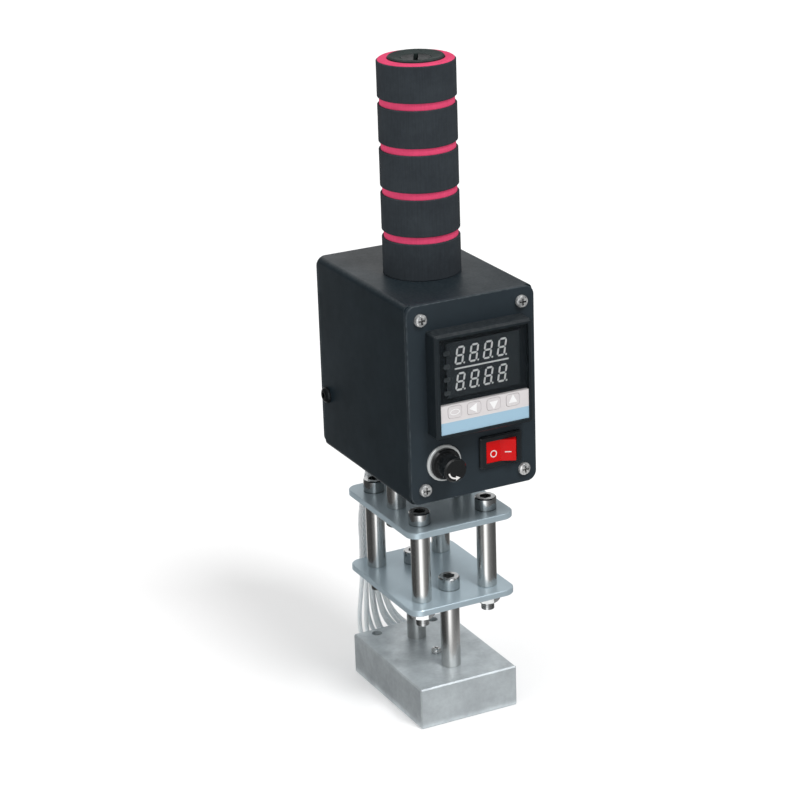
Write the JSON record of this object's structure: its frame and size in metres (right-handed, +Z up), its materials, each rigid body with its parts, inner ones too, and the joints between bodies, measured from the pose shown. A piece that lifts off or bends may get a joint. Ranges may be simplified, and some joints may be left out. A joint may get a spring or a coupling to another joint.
{
  "type": "handheld hot stamping machine",
  "caption": "Handheld hot stamping machine: heated block on steel pillars and plates, navy control box with temperature controller, rocker switch and fuse, foam-banded handle.",
  "frame": {"origin": "centre of the stamping face, the underside of the heated block", "axes": "+Z up along the handle, the control panel faces -Y, +X is to the right for someone who looks at the panel"},
  "size_m": [0.065, 0.1167, 0.305],
  "materials": {
    "block_aluminium": "satin",
    "plate_aluminium": "satin",
    "polished_steel": "polished",
    "heater_steel": "satin",
    "tube_steel": "satin",
    "bright_steel": "satin",
    "blued_steel": "satin",
    "box_paint": "semi-matt",
    "black_plastic": "matt",
    "black_gloss_plastic": "gloss",
    "smoked_window": "gloss",
    "display_grey": "matt",
    "key_overlay": "satin",
    "key_pad": "satin",
    "circuit_board": "satin",
    "brass": "satin",
    "red_plastic": "gloss",
    "fuse_glass": "gloss",
    "red_foam": "matt",
    "black_foam": "matt",
    "black_rubber": "matt",
    "lead_fibreglass": "matt",
    "pale_plastic": "satin",
    "wire_pvc": "satin"
  },
  "bodies": {
    "machine": {"block_leads": "lead_fibreglass", "block_screws": "bright_steel", "box_shell": "box_paint", "cartridge_heaters": "heater_steel", "controller_bezel": "black_plastic", "controller_circuit": "circuit_board", "controller_clamp": "black_plastic", "controller_housing": "black_plastic", "controller_terminals": "black_plastic", "cord_gland": "black_plastic", "corner_screws": "bright_steel", "display_module": "display_grey", "display_window": "smoked_window", "earth_nut": "bright_steel", "earth_screw": "bright_steel", "electrical_contacts": "brass", "front_panel": "box_paint", "fuse_body": "black_gloss_plastic", "fuse_nut": "black_gloss_plastic", "fuse_ring": "bright_steel", "gland_nut": "black_plastic", "grip_bands": "black_foam", "grip_core": "red_foam", "handle_cap": "black_plastic", "handle_fasteners": "bright_steel", "handle_plug": "black_plastic", "handle_screw": "blued_steel", "handle_tube": "tube_steel", "heating_block": "block_aluminium", "hex_nuts": "bright_steel", "inner_wires": "wire_pvc", "key_strip": "key_overlay", "lead_grommet": "black_rubber", "lead_sleeve": "lead_fibreglass", "lower_pillar_front": "polished_steel", "lower_pillar_rear": "polished_steel", "lower_pillar_screws": "bright_steel", "lower_plate": "plate_aluminium", "panel_screws": "bright_steel", "rear_panel": "box_paint", "rocker_pin": "bright_steel", "sensor_probe": "heater_steel", "spacer_front_left": "polished_steel", "spacer_front_right": "polished_steel", "spacer_rear_left": "polished_steel", "spacer_rear_right": "polished_steel", "switch_housing": "black_gloss_plastic", "terminal_screws": "brass", "terminal_strip": "pale_plastic", "upper_pillar_left": "polished_steel", "upper_pillar_right": "polished_steel", "upper_pillar_screws": "bright_steel", "upper_plate": "plate_aluminium"},
    "rocker": {"switch_rocker": "red_plastic"},
    "set_key": {"key_set": "key_pad"},
    "left_key": {"key_left": "key_pad"},
    "down_key": {"key_down": "key_pad"},
    "up_key": {"key_up": "key_pad"},
    "fuse_carrier": {"fuse_link": "fuse_glass"},
    "fuse_cap": {"fuse_cap": "black_gloss_plastic"}
  },
  "joints": [
    {"name": "switch_rocker", "type": "hinge", "parent": "machine", "child": "rocker", "pos_m": [0.0129, -0.0444, 0.134], "axis": [0, 0, 1], "range_deg": [0, 28]},
    {"name": "key_set_press", "type": "slide", "parent": "machine", "child": "set_key", "axis": [0, 1, 0], "range_m": [0, 0.0004], "stiffness_N_per_m": 1200},
    {"name": "key_left_press", "type": "slide", "parent": "machine", "child": "left_key", "axis": [0, 1, 0], "range_m": [0, 0.0004], "stiffness_N_per_m": 1200},
    {"name": "key_down_press", "type": "slide", "parent": "machine", "child": "down_key", "axis": [0, 1, 0], "range_m": [0, 0.0004], "stiffness_N_per_m": 1200},
    {"name": "key_up_press", "type": "slide", "parent": "machine", "child": "up_key", "axis": [0, 1, 0], "range_m": [0, 0.0004], "stiffness_N_per_m": 1200},
    {"name": "fuse_unscrew", "type": "slide", "parent": "machine", "child": "fuse_carrier", "axis": [0, -1, 0], "range_m": [0, 0.002]},
    {"name": "fuse_cap_turn", "type": "hinge", "parent": "fuse_carrier", "child": "fuse_cap", "pos_m": [-0.0153, -0.05, 0.1335], "axis": [0, -1, 0], "range_deg": [0, 720]}
  ],
  "couplings": [
    {"joint": "fuse_cap_turn", "follows": "fuse_unscrew", "rad_per_m": 6283.2}
  ]
}
